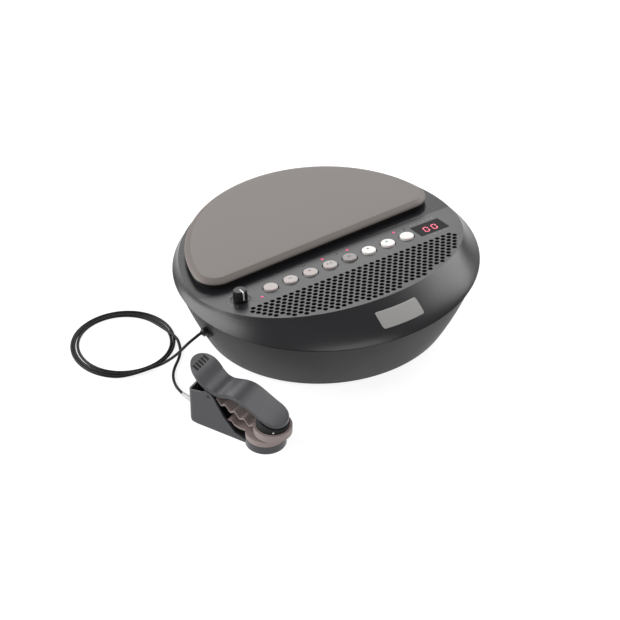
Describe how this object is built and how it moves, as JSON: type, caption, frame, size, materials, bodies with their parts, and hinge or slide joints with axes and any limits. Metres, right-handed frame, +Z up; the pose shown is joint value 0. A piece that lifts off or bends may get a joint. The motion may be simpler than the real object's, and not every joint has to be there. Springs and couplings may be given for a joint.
{
  "type": "electronic percussion pad with clip-on sensor",
  "caption": "Round tabletop electronic percussion pad with a D-shaped rubber drum surface, sloping button and loudspeaker panel, display, volume knob, and a clip sensor on a coiled lead.",
  "frame": {"origin": "centre of the round body's base on the surface it stands on, under the middle foot", "axes": "+X to the right of a player's view from the loudspeaker side, +Y from the loudspeaker side towards the drum pad, +Z up"},
  "size_m": [0.3677, 0.2779, 0.0805],
  "materials": {
    "upper_shell": "satin moulded ABS, dark grey",
    "lower_shell": "fine-textured moulded ABS, near black",
    "panel": "fine-textured moulded ABS, mid grey",
    "pad_rubber": "matte moulded rubber, warm grey",
    "black_rubber": "matte black rubber",
    "foam": "closed-cell foam, dark grey",
    "steel": "plain steel sheet",
    "black_screw": "black oxide steel",
    "brass": "plain brass",
    "film": "amber printed film",
    "circuit_board": "green solder mask",
    "component_black": "black moulded plastic",
    "lamp_lit": "clear red lamp, lit",
    "lamp_dark": "clear red lamp, not lit",
    "cap_pink": "translucent silicone, pinkish grey",
    "cap_grey": "translucent silicone, mid grey",
    "cap_white": "translucent silicone, white",
    "knob": "matte black plastic",
    "pointer": "white paint",
    "pot_metal": "plain",
    "window": "dark tinted acrylic",
    "digits": "glowing red segments",
    "cloth": "black acoustic cloth",
    "badge": "silver-grey",
    "cell": "printed sleeve",
    "speaker_metal": "black pressed steel",
    "magnet": "dark ferrite",
    "paper": "pressed paper cone",
    "lead": "black flexible sheath",
    "plug": "black moulded plug",
    "relief": "pale translucent sleeve",
    "clip": "fine-textured moulded ABS, dark grey",
    "liner": "soft rubber, pinkish grey",
    "sensor_black": "black"
  },
  "bodies": {
    "housing": {"upper_shell": "upper_shell", "lower_shell": "lower_shell", "control_panel": "panel", "percussion_pad": "pad_rubber", "pad_seat": "black_rubber", "pad_foam_cushion": "foam", "pad_backing_plate": "steel", "head_piezo_sensor": "brass", "pressure_sensor_film": "film", "case_screws": "black_screw", "speaker_screws": "black_screw", "board_screws": "black_screw", "sensor_jack": "component_black", "output_jack": "component_black", "small_jacks": "component_black", "dc_inlet": "component_black", "rubber_feet": "black_rubber", "battery_cells": "cell", "battery_contacts": "steel", "main_circuit_board": "circuit_board", "panel_circuit_board": "circuit_board", "button_switches": "component_black", "indicator_lamps_lit": "lamp_lit", "indicator_lamps_unlit": "lamp_dark", "knob_dial_ring": "knob", "volume_potentiometer": "pot_metal", "display_window": "window", "display_module": "component_black", "display_digits": "digits", "blank_badge": "badge", "grille_cloth": "cloth", "speaker_frame": "speaker_metal", "speaker_magnet": "magnet", "speaker_cone": "paper", "speaker_surround": "black_rubber", "speaker_dust_cap": "paper", "sensor_plug": "plug", "sensor_lead_near": "lead", "sensor_lead_far": "lead", "sensor_lead_coil": "lead", "clip_base": "clip", "clip_pivot_pin": "steel", "clip_spring": "steel", "clip_lower_liner": "liner", "clip_strain_relief": "relief"},
    "volume_control": {"volume_shaft": "knob", "volume_knob": "knob", "knob_pointer": "pointer"},
    "clip_jaw": {"clip_lever": "clip", "clip_upper_liner": "liner", "clip_sensor_disc": "sensor_black"},
    "bay_cover": {"battery_cover": "lower_shell"},
    "button_1": {"button_cap_1": "cap_pink"},
    "button_2": {"button_cap_2": "cap_pink"},
    "button_3": {"button_cap_3": "cap_pink"},
    "button_4": {"button_cap_4": "cap_pink"},
    "button_5": {"button_cap_5": "cap_grey"},
    "button_6": {"button_cap_6": "cap_white"},
    "button_7": {"button_cap_7": "cap_white"},
    "button_8": {"button_cap_8": "cap_white"}
  },
  "joints": [
    {"name": "button_1_press", "type": "slide", "parent": "housing", "child": "button_1", "axis": [0, -0.1162, -0.9932], "range_m": [0, 0.001], "stiffness_N_per_m": 800, "springref_m": -0.0005},
    {"name": "button_2_press", "type": "slide", "parent": "housing", "child": "button_2", "axis": [0, -0.1162, -0.9932], "range_m": [0, 0.001], "stiffness_N_per_m": 800, "springref_m": -0.0005},
    {"name": "button_3_press", "type": "slide", "parent": "housing", "child": "button_3", "axis": [0, -0.1162, -0.9932], "range_m": [0, 0.001], "stiffness_N_per_m": 800, "springref_m": -0.0005},
    {"name": "button_4_press", "type": "slide", "parent": "housing", "child": "button_4", "axis": [0, -0.1162, -0.9932], "range_m": [0, 0.001], "stiffness_N_per_m": 800, "springref_m": -0.0005},
    {"name": "button_5_press", "type": "slide", "parent": "housing", "child": "button_5", "axis": [0, -0.1162, -0.9932], "range_m": [0, 0.001], "stiffness_N_per_m": 800, "springref_m": -0.0005},
    {"name": "button_6_press", "type": "slide", "parent": "housing", "child": "button_6", "axis": [0, -0.1162, -0.9932], "range_m": [0, 0.001], "stiffness_N_per_m": 800, "springref_m": -0.0005},
    {"name": "button_7_press", "type": "slide", "parent": "housing", "child": "button_7", "axis": [0, -0.1162, -0.9932], "range_m": [0, 0.001], "stiffness_N_per_m": 800, "springref_m": -0.0005},
    {"name": "button_8_press", "type": "slide", "parent": "housing", "child": "button_8", "axis": [0, -0.1162, -0.9932], "range_m": [0, 0.001], "stiffness_N_per_m": 800, "springref_m": -0.0005},
    {"name": "volume_turn", "type": "hinge", "parent": "housing", "child": "volume_control", "pos_m": [-0.1037, -0.02474, 0.06966], "axis": [0, 0.1162, 0.9932], "range_deg": [-150, 150]},
    {"name": "clip_open", "type": "hinge", "parent": "housing", "child": "clip_jaw", "pos_m": [-0.16258, -0.07965, 0.034], "axis": [-0.8926, -0.4509, 0], "range_deg": [0, 20], "stiffness_Nm_per_rad": 0.35, "springref_deg": -20.05},
    {"name": "cover_slide", "type": "slide", "parent": "housing", "child": "bay_cover", "axis": [0, 1, 0], "range_m": [0, 0.008]}
  ]
}
